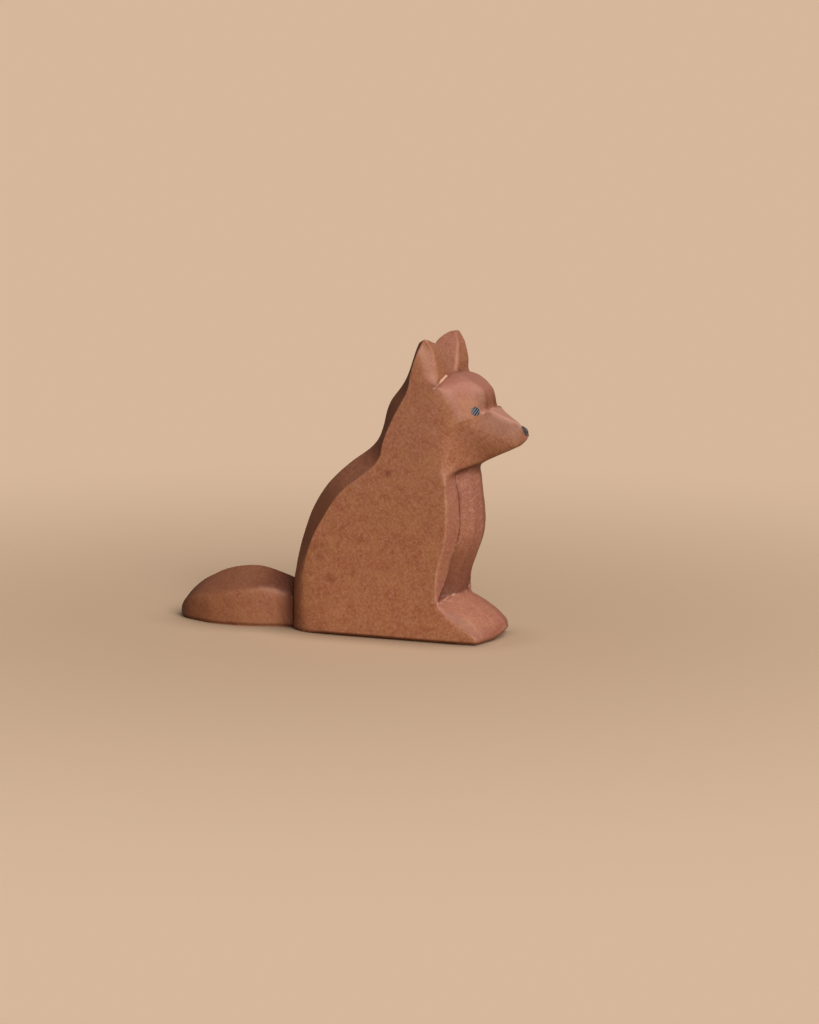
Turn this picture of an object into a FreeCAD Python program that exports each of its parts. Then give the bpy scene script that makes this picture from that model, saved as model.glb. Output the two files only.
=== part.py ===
import FreeCAD, Part
import os
from FreeCAD import Vector

# A sitting fox carved from one plank of wood, with a separate tail pegged to its rump.
# The frame: nose towards +X, plank faces towards +Y and -Y, resting face at Z = 0,
# origin under the middle of the whole length. Millimetres.

# Driving dimensions
body_length = 67.5
body_height = 83.0
plank_thickness = 25.0
tail_length = 37.5
tail_height = 15.9
tail_width = 20.2
overrun = 6.0

# Body: widths of the flats that the knife left between its side facets
back_flat_width = 14.0
chest_ridge_width = 8.0
chest_width = 16.0
foot_flat_width = 8.0
foot_top_width = 20.0
groove_depth = 0.5
pocket_depth = 1.5
pocket_side_share = 0.9
bottom_edge = 1.0

# Head: the gap between the ears, the brow and the snout
ear_gap_floor_width = 5.0
ear_gap_top_width = 12.5
crown_width = 7.0
brow_width = 9.75

# Tail
tail_root_width = 13.0
tail_root_height = 12.6
tail_side_inset = 0.6

# Hidden peg between tail and body
peg_diameter = 6.0
peg_length = 16.0
peg_side_clearance = 0.1
peg_end_clearance = 0.3

# Paint
eye_diameter = 2.5
eye_paint_thickness = 0.2
nose_paint_width = 2.7
nose_paint_thickness = 0.2

# Side outlines as shares of body_length, measured from the seat of the tail,
# and of body_height, measured from the floor
back_shares = [
    (0.000, 0.157), (0.009, 0.192), (0.021, 0.237), (0.040, 0.293), (0.061, 0.343),
    (0.089, 0.401), (0.127, 0.458), (0.181, 0.513), (0.239, 0.557), (0.290, 0.589),
    (0.344, 0.619), (0.382, 0.649), (0.403, 0.682), (0.415, 0.718), (0.427, 0.757),
    (0.449, 0.793), (0.481, 0.825), (0.508, 0.858), (0.532, 0.904), (0.551, 0.952),
    (0.569, 0.983)]
back_side_shares = [
    (0.084, 0.157), (0.083, 0.192), (0.087, 0.227), (0.113, 0.293), (0.139, 0.341),
    (0.173, 0.390), (0.213, 0.440), (0.268, 0.492), (0.339, 0.535), (0.404, 0.578),
    (0.434, 0.614), (0.444, 0.643), (0.453, 0.675), (0.468, 0.711), (0.492, 0.749),
    (0.524, 0.790), (0.548, 0.835), (0.557, 0.867), (0.572, 0.914), (0.594, 0.961),
    (0.609, 0.993)]
rump_floor_share = 0.105
ear_top_shares = [(0.540, 0.955), (0.569, 0.983), (0.590, 0.997), (0.610, 1.000), (0.631, 0.986)]
ear_front_shares = [(0.631, 0.986), (0.650, 0.955), (0.660, 0.923), (0.668, 0.892), (0.672, 0.871)]
crown_shares = [(0.672, 0.871), (0.712, 0.881), (0.745, 0.874), (0.783, 0.857), (0.816, 0.832)]
stop_share = (0.836, 0.772)
snout_top_shares = [(0.836, 0.772), (0.887, 0.746), (0.935, 0.729), (0.973, 0.713)]
nose_shares = [(0.973, 0.713), (1.000, 0.692), (0.974, 0.650)]
throat_share = (0.797, 0.586)
chin_slope_share = 0.463

# Front outlines from the throat down to the ankle: along the middle, at the edge of the
# chest's ridge, at its sides, and of the foreleg's strip at its two edges
chest_middle_shares = [
    (0.788, 0.573), (0.793, 0.528), (0.797, 0.482), (0.801, 0.436), (0.803, 0.396),
    (0.801, 0.355), (0.791, 0.316), (0.772, 0.272), (0.747, 0.219), (0.735, 0.186),
    (0.729, 0.154)]
chest_ridge_shares = [
    (0.770, 0.565), (0.775, 0.528), (0.782, 0.482), (0.788, 0.436), (0.791, 0.396),
    (0.787, 0.355), (0.777, 0.316), (0.761, 0.275), (0.737, 0.219), (0.726, 0.184),
    (0.719, 0.149)]
leg_inner_shares = [
    (0.732, 0.546), (0.744, 0.524), (0.753, 0.488), (0.756, 0.446), (0.760, 0.402),
    (0.754, 0.355), (0.747, 0.313), (0.732, 0.272), (0.714, 0.224), (0.703, 0.178),
    (0.700, 0.140)]
leg_outer_shares = [
    (0.716, 0.540), (0.714, 0.518), (0.716, 0.482), (0.719, 0.440), (0.719, 0.398),
    (0.714, 0.349), (0.704, 0.308), (0.687, 0.270), (0.673, 0.219), (0.668, 0.176),
    (0.681, 0.124)]

pocket_top_share = (0.760, 0.402)
pocket_reach_share = 3.0

# Top of the foot, and its toe, at the middle and at three distances from it
foot_middle_shares = [(0.729, 0.154), (0.794, 0.128), (0.859, 0.094), (0.898, 0.063)]
foot_flat_shares = [(0.719, 0.149), (0.788, 0.123), (0.850, 0.089), (0.889, 0.059)]
foot_top_shares = [(0.692, 0.129), (0.744, 0.112), (0.806, 0.083), (0.839, 0.059)]
foot_side_shares = [(0.681, 0.124), (0.715, 0.100), (0.751, 0.077), (0.806, 0.039)]
toe_middle_shares = [(0.898, 0.063), (0.903, 0.038), (0.838, 0.000)]
toe_flat_shares = [(0.889, 0.059), (0.885, 0.034), (0.812, 0.000)]
toe_top_shares = [(0.839, 0.059), (0.843, 0.034), (0.785, 0.000)]
toe_side_shares = [(0.806, 0.039), (0.810, 0.020), (0.776, 0.000)]

# Places on the head's facets: along body_length, across half of the plank, up body_height
cheek_low_shares = [(0.765, 1.0, 0.60), (0.765, 1.0, 0.72), (0.996, 0.20, 0.66)]
brow_share = (0.833, brow_width / plank_thickness, 0.772)
crown_share = crown_width / plank_thickness
eye_facet_shares = [(0.739, 1.0, 0.794), brow_share, (0.812, 0.30, 0.831)]
snout_side_shares = [brow_share, (0.935, 0.11, 0.727), (0.833, 0.72, 0.690)]
crown_side_shares = [(0.674, crown_share, 0.877), (0.780, crown_share, 0.884), (0.674, 1.0, 0.841)]
left_ear_tip_shares = [(0.570, 1.0, 1.000), (0.660, 1.0, 1.000), (0.610, 0.5, 0.990)]
right_ear_tip_shares = [(0.570, -1.0, 1.000), (0.660, -1.0, 1.000), (0.610, -0.5, 0.982)]
head_start_share = 0.6745
ear_gap_floor_share = 0.871
ear_gap_back_share = 0.852
eye_share = (0.815, 0.50, 0.772)

# Tail: ridge and side edge as shares of tail_length, from the seat to the tip, and of
# tail_height; half of its plan as shares of tail_length and of half of tail_width
tail_ridge_shares = [
    (0.000, 0.780), (0.070, 0.840), (0.190, 0.920), (0.310, 0.990), (0.400, 1.000),
    (0.530, 0.965), (0.620, 0.910), (0.720, 0.810), (0.815, 0.680), (0.905, 0.500),
    (0.960, 0.330), (1.010, 0.000)]
tail_edge_shares = [
    (0.000, 0.430), (0.070, 0.500), (0.190, 0.650), (0.310, 0.660), (0.400, 0.650),
    (0.530, 0.590), (0.620, 0.545), (0.720, 0.470), (0.815, 0.390), (0.905, 0.270),
    (0.960, 0.160), (1.010, -0.060)]
tail_plan_shares = [
    (0.000, tail_root_width / tail_width), (0.130, 0.700), (0.245, 0.850), (0.365, 0.965),
    (0.490, 1.000), (0.630, 0.970), (0.790, 0.745), (0.930, 0.465), (0.985, 0.200),
    (1.000, 0.000)]

half_thickness = plank_thickness / 2
seat_x = tail_length - (tail_length + body_length) / 2
far_x = seat_x + body_length + overrun
cut_y = half_thickness + overrun


def side_point(share, y):
    return Vector(seat_x + share[0] * body_length, y, share[1] * body_height)


def body_point(share):
    return side_point((share[0], share[2]), share[1] * half_thickness)


def curve_through(points):
    spline = Part.BSplineCurve()
    spline.interpolate(points)
    return spline.toShape()


def side_curve(shares, y):
    return curve_through([side_point(share, y) for share in shares])


def lines_through(points):
    return [Part.LineSegment(a, b).toShape() for a, b in zip(points, points[1:])]


def carried_outward(inner_shares, outer_shares, inner_y):
    """The outer outline carried on past the plank's face, along the same facet."""
    reach = (cut_y - inner_y) / (half_thickness - inner_y)
    pairs = zip(inner_shares, outer_shares)
    return [(a[0] + (b[0] - a[0]) * reach, a[1] + (b[1] - a[1]) * reach) for a, b in pairs]


def mirrored_levels(levels):
    """Levels from the far side to the near side, from a list that starts at the middle."""
    far = [(-y, shares) for y, shares in reversed(levels) if y > 0]
    return far + levels


def ruled(wires):
    return Part.makeLoft(wires, True, True)


def knife_block(places):
    """A block whose one face lies on three places, on the side away from the torso."""
    a, b, c = places
    normal = (b - a).cross(c - a)
    normal.normalize()
    torso = Vector(0, 0, body_height / 2)
    if normal.dot(torso - a) > 0:
        normal = normal.negative()
    reach = body_length + body_height
    block = Part.makeBox(2 * reach, 2 * reach, reach, Vector(-reach, -reach, 0))
    block.Placement = FreeCAD.Placement(a, FreeCAD.Rotation(Vector(0, 0, 1), normal))
    return block


def both_sides(shape):
    return [shape, shape.mirror(Vector(0, 0, 0), Vector(0, 1, 0))]


# Back, from the rump to the tips of the ears, with a facet along each side
def back_wire(level):
    y, shares, floor_share = level
    up = side_point(shares[-1], y)
    down = side_point((floor_share, 0), y)
    top = Vector(up.x + overrun / 2, y, body_height + overrun)
    behind = seat_x - 2 * overrun
    below = Vector(down.x, y, -overrun)
    ends = [up, top, Vector(behind, y, top.z), Vector(behind, y, below.z), below,
            down, side_point(shares[0], y)]
    return Part.Wire([side_curve(shares, y)] + lines_through(ends))


def back_cutter():
    flat = back_flat_width / 2
    outer = carried_outward(back_shares, back_side_shares, flat)
    outer_floor = rump_floor_share * (cut_y - flat) / (half_thickness - flat)
    levels = [(-cut_y, outer, outer_floor), (-flat, back_shares, 0),
              (flat, back_shares, 0), (cut_y, outer, outer_floor)]
    return ruled([back_wire(level) for level in levels])


# Head: one sawn outline over the ears, the crown, the brow and the snout
def head_cutter():
    y = -cut_y
    ear_back = side_point(ear_top_shares[0], y)
    brow = [side_point(crown_shares[-1], y), side_point(stop_share, y)]
    nose = [side_point(share, y) for share in nose_shares]
    top_z = body_height + overrun
    ends = [nose[-1], Vector(far_x, y, nose[-1].z), Vector(far_x, y, top_z),
            Vector(ear_back.x, y, top_z), ear_back]
    edges = [side_curve(ear_top_shares, y), side_curve(ear_front_shares, y),
             side_curve(crown_shares, y)]
    edges += lines_through(brow)
    edges += [side_curve(snout_top_shares, y), Part.Arc(*nose).toShape()]
    edges += lines_through(ends)
    return Part.Face(Part.Wire(edges)).extrude(Vector(0, 2 * cut_y, 0))


def head_space():
    """The space in front of the ears and above the jaw, where the head's facets end."""
    x = seat_x + head_start_share * body_length
    floor_z = chin_height(x) - overrun / 2
    size = Vector(far_x - x, 2 * cut_y, body_height + overrun - floor_z)
    return Part.makeBox(size.x, size.y, size.z, Vector(x, -cut_y, floor_z))


def head_block(shares):
    return knife_block([body_point(share) for share in shares]).common(head_space())


def head_facets():
    """The eye's facet and the side of the snout meet in a shallow hollow beside the brow."""
    above_snout = head_block(eye_facet_shares).common(head_block(snout_side_shares))
    cuts = both_sides(head_block(cheek_low_shares))
    cuts += both_sides(head_block(crown_side_shares))
    return cuts + both_sides(above_snout)


def ear_tip_block(shares, start_y):
    """The tip of one ear slopes down towards the gap."""
    corner = Vector(seat_x, start_y, body_height - overrun / 2)
    one_side = Part.makeBox(far_x - seat_x, cut_y, overrun, corner)
    return knife_block([body_point(share) for share in shares]).common(one_side)


def ear_gap_wire(x, floor_z):
    floor = ear_gap_floor_width / 2
    top = ear_gap_top_width / 2
    top_z = body_height + overrun
    corner_z = floor_z + (floor / 2)
    wide = top + (top - floor) * overrun / (body_height - corner_z)
    sag = Vector(x, 0, floor_z)
    left = Vector(x, -floor, corner_z)
    right = Vector(x, floor, corner_z)
    bottom = Part.Arc(left, sag, right).toShape()
    sides = [right, Vector(x, wide, top_z), Vector(x, -wide, top_z), left]
    return Part.Wire([bottom] + lines_through(sides))


def ear_gap_cutter():
    front_x = seat_x + head_start_share * body_length
    back_x = side_point(back_shares[-6], 0).x - overrun
    front = ear_gap_wire(front_x, ear_gap_floor_share * body_height)
    back = ear_gap_wire(back_x, ear_gap_back_share * body_height)
    return ruled([back, front])


def chin_height(x):
    throat = side_point(throat_share, 0)
    return throat.z + chin_slope_share * (x - throat.x)


# Front: the chest between the forelegs, and the strip along each foreleg
def front_wire(level):
    y, shares = level
    throat_x = seat_x + shares[0][0] * body_length
    throat = Vector(throat_x, y, chin_height(throat_x))
    ankle = side_point(shares[-1], y)
    ends = [ankle, Vector(far_x, y, ankle.z), Vector(far_x, y, chin_height(far_x)), throat]
    points = [throat] + [side_point(share, y) for share in shares[1:]]
    return Part.Wire([curve_through(points)] + lines_through(ends))


def groove_drop(share):
    """The chest lies under the foreleg's edge, and deepest in the pocket above the foot."""
    top = pocket_top_share[1]
    low = leg_inner_shares[-1][1]
    into_pocket = max(0, (top - share[1]) / (top - low))
    return groove_depth + (pocket_depth - groove_depth) * into_pocket


def chest_cutter():
    groove_shares = [(share[0] - groove_drop(share) / body_length, share[1])
                     for share in leg_inner_shares]
    levels = [(0, chest_middle_shares), (chest_ridge_width / 2, chest_ridge_shares),
              (chest_width / 2, groove_shares)]
    return ruled([front_wire(level) for level in mirrored_levels(levels)])


def leg_cutter():
    inner_y = chest_width / 2
    outer = carried_outward(leg_inner_shares, leg_outer_shares, inner_y)
    return ruled([front_wire((inner_y, leg_inner_shares)), front_wire((cut_y, outer))])


def pocket_cutter():
    """The notch above the foot, which runs out to the corner of the foreleg."""
    top = side_point(pocket_top_share, chest_width / 2)
    low = side_point(leg_inner_shares[-1], chest_width / 2)
    corner = side_point(leg_outer_shares[-1], pocket_side_share * half_thickness)
    corners = [Vector(top.x - groove_depth, top.y, top.z),
               Vector(low.x - pocket_depth, low.y, low.z),
               Vector(corner.x - groove_depth, corner.y, corner.z)]
    face = Part.Face(Part.makePolygon(corners + [corners[0]]))
    foot = side_point(foot_top_shares[1], 0) - side_point(foot_top_shares[0], 0)
    return face.extrude(foot * pocket_reach_share)


# Foot: its top falls away from the ankle and to both sides, and ends in a round toe
def foot_wire(level):
    y, foot_shares, toe_shares = level
    toe = [side_point(share, y) for share in toe_shares]
    ankle = side_point(foot_shares[0], y)
    rise = overrun / 2
    ends = [toe[-1], Vector(toe[-1].x, y, -overrun), Vector(far_x, y, -overrun),
            Vector(far_x, y, ankle.z + rise), Vector(ankle.x + overrun, y, ankle.z + rise),
            ankle]
    edges = [side_curve(foot_shares, y), Part.Arc(*toe).toShape()]
    return Part.Wire(edges + lines_through(ends))


def foot_cutter():
    top_y = foot_top_width / 2
    outer_foot = carried_outward(foot_top_shares, foot_side_shares, top_y)
    outer_toe = carried_outward(toe_top_shares, toe_side_shares, top_y)
    middle = [(0, foot_middle_shares, toe_middle_shares),
              (foot_flat_width / 2, foot_flat_shares, toe_flat_shares),
              (top_y, foot_top_shares, toe_top_shares), (cut_y, outer_foot, outer_toe)]
    far = [(-y, foot, toe) for y, foot, toe in reversed(middle) if y > 0]
    return ruled([foot_wire(level) for level in far + middle])


def bottom_edge_cutter():
    start = seat_x - overrun
    y = half_thickness + overrun
    z = bottom_edge + overrun
    corners = [Vector(start, half_thickness - bottom_edge - overrun, -overrun),
               Vector(start, y, -overrun), Vector(start, y, z)]
    face = Part.Face(Part.makePolygon(corners + [corners[0]]))
    return face.extrude(Vector(far_x - start, 0, 0))


def peg_hole(centre_x, half_depth):
    radius = peg_diameter / 2 + peg_side_clearance
    start = Vector(centre_x - half_depth, 0, tail_root_height / 2)
    return Part.makeCylinder(radius, 2 * half_depth, start, Vector(1, 0, 0))


def tail_peg():
    start = Vector(seat_x - peg_length / 2, 0, tail_root_height / 2)
    return Part.makeCylinder(peg_diameter / 2, peg_length, start, Vector(1, 0, 0))


def carved_body():
    size_x = body_length + overrun
    block = Part.makeBox(size_x, plank_thickness, body_height,
                         Vector(seat_x, -half_thickness, 0))
    cuts = [back_cutter(), head_cutter(), ear_gap_cutter()]
    cuts += [ear_tip_block(left_ear_tip_shares, 0), ear_tip_block(right_ear_tip_shares, -cut_y)]
    cuts += head_facets()
    cuts += [chest_cutter(), foot_cutter()]
    cuts += both_sides(leg_cutter())
    cuts += both_sides(pocket_cutter())
    cuts += both_sides(bottom_edge_cutter())
    cuts.append(peg_hole(seat_x, peg_length / 2 + peg_end_clearance))
    for cut in cuts:
        block = block.cut(cut)
    return block


# Tail: a leaf in plan, with a ridge along its top and a facet down to each side
def tail_point(share, y):
    x = seat_x - share[0] * tail_length
    return Vector(x, y, share[1] * tail_height)


def tail_top_wire(y, shares):
    points = [tail_point(share, y) for share in shares]
    top_z = tail_height + overrun
    root = Vector(seat_x + overrun, y, points[0].z)
    tip = Vector(points[-1].x - overrun, y, points[-1].z)
    ends = [points[-1], tip, Vector(tip.x, y, top_z), Vector(root.x, y, top_z), root,
            points[0]]
    return Part.Wire([curve_through(points)] + lines_through(ends))


def tail_top_cutter():
    edge_y = tail_width / 2 - tail_side_inset
    out_y = tail_width / 2 + overrun
    reach = out_y / edge_y
    pairs = list(zip(tail_ridge_shares, tail_edge_shares))
    outer = [(a[0], a[1] + (b[1] - a[1]) * reach) for a, b in pairs]
    return ruled([tail_top_wire(-out_y, outer), tail_top_wire(0, tail_ridge_shares),
                  tail_top_wire(out_y, outer)])


def tail_plan_point(share, side):
    x = seat_x - share[0] * tail_length
    return Vector(x, side * share[1] * tail_width / 2, 0)


def carved_tail():
    near = [tail_plan_point(share, -1) for share in tail_plan_shares]
    far = [tail_plan_point(share, 1) for share in reversed(tail_plan_shares[:-1])]
    outline = Part.Wire([curve_through(near + far)] + lines_through([far[-1], near[0]]))
    blank = Part.Face(outline).extrude(Vector(0, 0, tail_height))
    tail = blank.cut(tail_top_cutter())
    return tail.cut(peg_hole(seat_x, peg_length / 2 + peg_end_clearance))


# Paint: a dot on each eye facet, and a coat over the tip of the nose
def eye_facet_normal():
    a, b, c = [body_point(share) for share in eye_facet_shares]
    normal = (b - a).cross(c - a)
    normal.normalize()
    return normal if normal.y > 0 else normal.negative()


def painted_eye():
    normal = eye_facet_normal()
    seat = body_point(eye_facet_shares[0])
    centre = body_point(eye_share)
    centre = centre - normal * normal.dot(centre - seat)
    return Part.makeCylinder(eye_diameter / 2, eye_paint_thickness, centre, normal)


def painted_nose(body):
    top, tip, under = [side_point(share, 0) for share in nose_shares]
    outward = Vector(1, 0, 0.8)
    outward.normalize()
    reach = nose_paint_width
    middle = (top + tip) * 0.5
    region = Part.makeCylinder(nose_paint_width / 2, 2 * reach, middle - outward * reach, outward)
    coat = body.translated(outward * nose_paint_thickness).cut(body)
    return coat.common(region)


def single(shape):
    """The largest solid of a shape, without crumbs left by a cut."""
    return max(shape.Solids, key=lambda solid: solid.Volume)


body = single(carved_body())
left_eye = painted_eye()
nodes = {
    "body": body,
    "tail": single(carved_tail()),
    "tail_peg": tail_peg(),
    "left_eye": left_eye,
    "right_eye": left_eye.mirror(Vector(0, 0, 0), Vector(0, 1, 0)),
    "nose_tip": single(painted_nose(body)),
}

os.makedirs("parts", exist_ok=True)
for name, shape in nodes.items():
    shape.exportStep("parts/" + name + ".step")
    box = shape.BoundBox
    corners = (box.XMin, box.YMin, box.ZMin, box.XMax, box.YMax, box.ZMax)
    print(name, shape.ShapeType, "valid", shape.isValid(), "solids", len(shape.Solids),
          "volume", round(shape.Volume, 2), [round(value, 2) for value in corners])
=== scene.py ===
import math

import bpy
import numpy as np
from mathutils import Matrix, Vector, noise


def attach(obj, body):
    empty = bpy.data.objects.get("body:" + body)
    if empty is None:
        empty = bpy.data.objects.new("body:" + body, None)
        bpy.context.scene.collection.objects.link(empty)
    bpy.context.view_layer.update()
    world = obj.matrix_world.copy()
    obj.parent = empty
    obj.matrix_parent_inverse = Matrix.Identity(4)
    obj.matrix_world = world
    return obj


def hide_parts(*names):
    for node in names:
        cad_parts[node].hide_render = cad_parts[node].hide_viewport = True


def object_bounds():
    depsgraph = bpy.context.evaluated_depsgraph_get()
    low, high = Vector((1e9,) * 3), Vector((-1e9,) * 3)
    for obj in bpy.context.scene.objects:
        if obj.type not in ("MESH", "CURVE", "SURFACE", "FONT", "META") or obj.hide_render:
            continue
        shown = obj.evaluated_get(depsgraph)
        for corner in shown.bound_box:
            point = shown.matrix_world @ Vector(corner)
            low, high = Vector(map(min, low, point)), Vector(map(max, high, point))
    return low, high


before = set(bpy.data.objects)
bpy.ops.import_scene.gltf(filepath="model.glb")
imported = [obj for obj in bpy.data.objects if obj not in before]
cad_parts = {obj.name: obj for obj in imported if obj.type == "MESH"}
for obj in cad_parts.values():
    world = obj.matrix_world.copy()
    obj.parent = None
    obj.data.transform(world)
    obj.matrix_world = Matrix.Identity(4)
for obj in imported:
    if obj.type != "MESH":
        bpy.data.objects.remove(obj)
cad_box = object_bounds()

# A sitting fox carved from one plank, with a pegged tail, stained red-brown and waxed.
# Nose towards +X, plank faces towards +Y and -Y. Shapes are given in millimetres here and
# turned into metres where they reach a mesh. The view, the light and the scales of the
# textures are in metres. In the shapes, what rise, np.interp and close_to are given are
# places and reaches in millimetres, and the factors are shares.
MM = 0.001
HALF_PLANK = 12.5
SAME_PLACE = 0.000002  # metres: points closer than this are one point
BODY_FACE = 0.4  # width of the even faces that the body and the tail are carved in
TAIL_FACE = 0.35
FULL_EDGE = 0.03  # how far a point stands out from its neighbours where an edge is sharp
SEED_STEPS = (17.3, -9.1, 5.7)  # how far apart two seeds read the noise, in bumps

# The view of the photograph
LENS = 140.625
VIEW_PLACE = (0.450226, -0.995438, 0.205560)
VIEW_UP = 81  # degrees up from straight down
VIEW_ROUND = 23.5  # degrees round from the near flank towards the nose
SEEN_FROM, SEEN_TO = 0.05, 20

# Light and floor
WINDOW_PLACE = (2.47, -2.38, 2.42)
WINDOW_AIM = (0.0, 0.0, 0.03)
WINDOW_WIDTH = 2.6
WINDOW_POWER = 212.0
WINDOW_TINT = (1.0, 0.97, 0.93)
ROOM_TINT = (1.0, 0.86, 0.72, 1)
ROOM_STRENGTH = 0.07
GLOSS_STRENGTH = 0.35  # the background as glossy faces see it; the camera sees it at 1
FLOOR_WIDTH = 8
FLOOR_FADE = (-0.02, 0.34)  # how far out the floor's fading into the background starts and ends
CONTACT_REACH = 0.012
LIT_SIDE = (0.034, 0.046)  # the contact shadow grows weaker over this stretch of X, by the toe

# Lines that the knife followed, on one side of the body: forward, out from the middle, up
GROOVE = [(34.2, 8.0, 47.6), (34.7, 8.1, 45.8), (35.3, 8.2, 42.1), (35.8, 8.1, 37.9),
          (36.2, 8.1, 33.8), (35.9, 7.9, 29.5), (35.5, 7.9, 27.2)]
POCKET_EDGE = [(36.1, 7.9, 31.5), (35.9, 7.9, 29.5), (34.9, 7.9, 24.5), (33.2, 8.0, 18.8),
               (31.6, 9.0, 15.2), (30.8, 11.6, 11.2)]
POCKET_FLOOR = [(30.8, 11.4, 10.6), (32.2, 6.0, 12.2), (33.9, 0.0, 13.2)]
BROW_CREASE = [(42.1, 0.0, 64.1), (42.0, 3.0, 64.1), (41.2, 5.4, 63.6)]
UNDER_CREASE = [(42.6, 0.0, 63.4), (42.4, 3.0, 63.4), (41.3, 5.6, 62.9)]
JAW_CORNER = [(35.0, 8.0, 47.0), (37.5, 0.0, 47.4)]
EAR_ROOT = [(30.4, 1.5, 72.6), (30.5, 5.0, 72.4), (30.5, 9.0, 71.5), (30.4, 12.3, 70.4)]
EAR_FRONT = [(30.0, 12.5, 70.0), (30.2, 12.5, 75.0), (27.6, 12.5, 81.5)]
EAR_OUTER_EDGE = [(30.4, 12.5, 71.5), (30.0, 12.5, 74.0), (29.2, 12.5, 76.6), (28.2, 12.5, 79.2)]
EAR_INNER_EDGE = [(30.2, 2.9, 73.5), (29.2, 4.0, 76.6), (28.2, 5.0, 79.2)]
STRIP_EDGE = [(33.2, 12.4, 46.5), (33.5, 12.4, 39.5), (33.6, 12.4, 33.0), (32.8, 12.4, 25.7),
              (31.2, 12.4, 19.8), (30.1, 12.4, 15.0), (30.2, 12.4, 12.0)]
FOOT_FOLD = [(33.0, 10.8, 9.8), (37.1, 10.0, 8.2), (39.9, 9.8, 6.6), (42.1, 9.2, 4.9)]
FOOT_SIDE = [(31.2, 12.5, 10.2), (34.0, 12.3, 7.9), (36.6, 12.3, 5.5), (39.5, 12.3, 2.8)]
FOOT_CORNER = [(40.2, 12.5, 0.0), (37.5, 12.5, 4.5)]

# Lines that lie where they are said to, and aren't repeated on the other side
NOSE_TOP = [(51.8, -3.0, 57.8), (51.8, 3.0, 57.8)]
NICK = [(30.3, -4.9, 72.5), (30.5, -8.6, 71.7), (30.5, -11.6, 70.8)]
SECOND_NICK = [(30.5, -8.9, 71.2), (30.2, -10.9, 70.6), (30.0, -12.5, 69.9)]

# Cuts of the knife's point: line, half width, depth, how far it wanders, seed of its wandering
CUTS = [(GROOVE, 0.5, 0.55, 0.08, 11), (POCKET_EDGE, 0.6, 0.5, 0.3, 12),
        (POCKET_FLOOR, 0.4, 0.25, 0.1, 13), (EAR_ROOT, 0.6, 0.35, 0.1, 14)]
CUT_REACH = 0.8  # smaller faces lie this close to a cut
CUT_RUN_IN = 0.12  # share of a cut's length over which it reaches its depth
CUT_START = 0.15  # share of the depth at its very ends
WANDER_SIZE = 0.9  # how long the bends of a wandering cut are
WANDER_ROOM = 1.0  # how far past its half width a cut may wander

# Swells that hand work leaves: how wide, how high, seed of the noise
BODY_SWELLS = [(9, 0.10, 1), (3.2, 0.035, 2)]
TAIL_SWELLS = [(7, 0.10, 3), (2.5, 0.03, 4)]

# How far each shape goes
JAW_SLOPE = 0.463
BROW_OUT = 1.05
SCOOP_DEPTH = 0.9
POCKET_DEPTH = 1.8
POCKET_WIDTH = 7.5
FAR_EAR_FORWARD, FAR_EAR_UP = 0.6, 0.45
RIM_INSET, RIM_HEIGHT = 0.75, 1.3

# Paint on the head
EYES = {"left_eye_paint": (39.3, 7.4, 63.0), "right_eye_paint": (39.9, -7.0, 63.6)}
EYE_RADIUS = 1.22
EYE_THICKNESS = 0.24
EYE_DOME = ((0.10, 0.03), (0.25, 0.05), (0.35, 0.04), (0.3, 0.02))  # steps inward and outward
NOSE_LIFT = 0.03
NOSE_COAT = 0.12

# Darker spots on the near flank: middle, reach and strength
SPOTS = [((16.4, -12.5, 45.9), (1.6, 3, 1.6), 0.9), ((-5.4, -12.5, 24.6), (3.4, 3, 2.2), 0.45),
         ((-4.2, -12.5, 21.6), (2.8, 3, 1.8), 0.45), ((-0.8, -12.5, 16.0), (2.6, 3, 1.8), 0.35),
         ((8.2, -12.5, 3.0), (0.6, 3, 0.6), 0.5), ((3.1, -12.5, 5.9), (0.5, 3, 0.5), 0.5)]
SPOT_RAGGED = 0.9
TAIL_DEEPER = 0.4  # how far the tail's stain is deeper than the body's

# Colours of the finishes, and of the painted sheen, shade and highlights, as 8-bit sRGB
RED_BROWN = {"Stain": (149, 91, 57), "Ochre": (156, 102, 60), "Red": (136, 66, 40),
             "Pale": (180, 122, 94)}
BLACK_BROWN = {"Stain": (42, 34, 32), "Ochre": (52, 42, 38), "Red": (34, 28, 26),
               "Pale": (76, 62, 56)}
BARE_PEG = {"Stain": (196, 160, 118), "Ochre": (206, 172, 128), "Red": (176, 136, 96),
            "Pale": (216, 186, 146)}
PEG_GRAIN = (160, 120, 82)
DEEP_STAIN = (112, 62, 34)
SPOT_STAIN = (112, 48, 32)
PAINTED_SHEEN = (172, 114, 104)
FORWARD_SHADE = (132, 78, 76)
WORN_EDGE = (190, 134, 108)
HOLLOW_SHADE = (92, 44, 28)
SHADE_AND_POOLED_STAIN = (92, 44, 26)
KNIFE_STROKE = (188, 134, 112)
HATCHING = (196, 146, 124)
BARE_WOOD_AND_HIGHLIGHT = (232, 188, 160)
EYE_BLACK = (5, 6, 9)
EYE_GREY = (112, 119, 126)
FLOOR_SHADOW = (96, 74, 56)
FLOOR_PALE = (213, 182, 153)
BACKGROUND = (214, 183, 155)


def set_camera():
    """The camera stands and looks as the photograph's did."""
    data = bpy.data.cameras.new("view")
    data.lens = LENS
    data.clip_start = SEEN_FROM
    data.clip_end = SEEN_TO
    camera = bpy.data.objects.new("view", data)
    camera.location = VIEW_PLACE
    camera.rotation_euler = (math.radians(VIEW_UP), 0, math.radians(VIEW_ROUND))
    bpy.context.scene.collection.objects.link(camera)
    bpy.context.scene.camera = camera


# Handling of pieces
def only(piece):
    """Selects this piece alone, and makes it the one worked on."""
    bpy.ops.object.select_all(action="DESELECT")
    piece.select_set(True)
    bpy.context.view_layer.objects.active = piece


def apply_all(piece):
    only(piece)
    for modifier in list(piece.modifiers):
        bpy.ops.object.modifier_apply(modifier=modifier.name)


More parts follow.
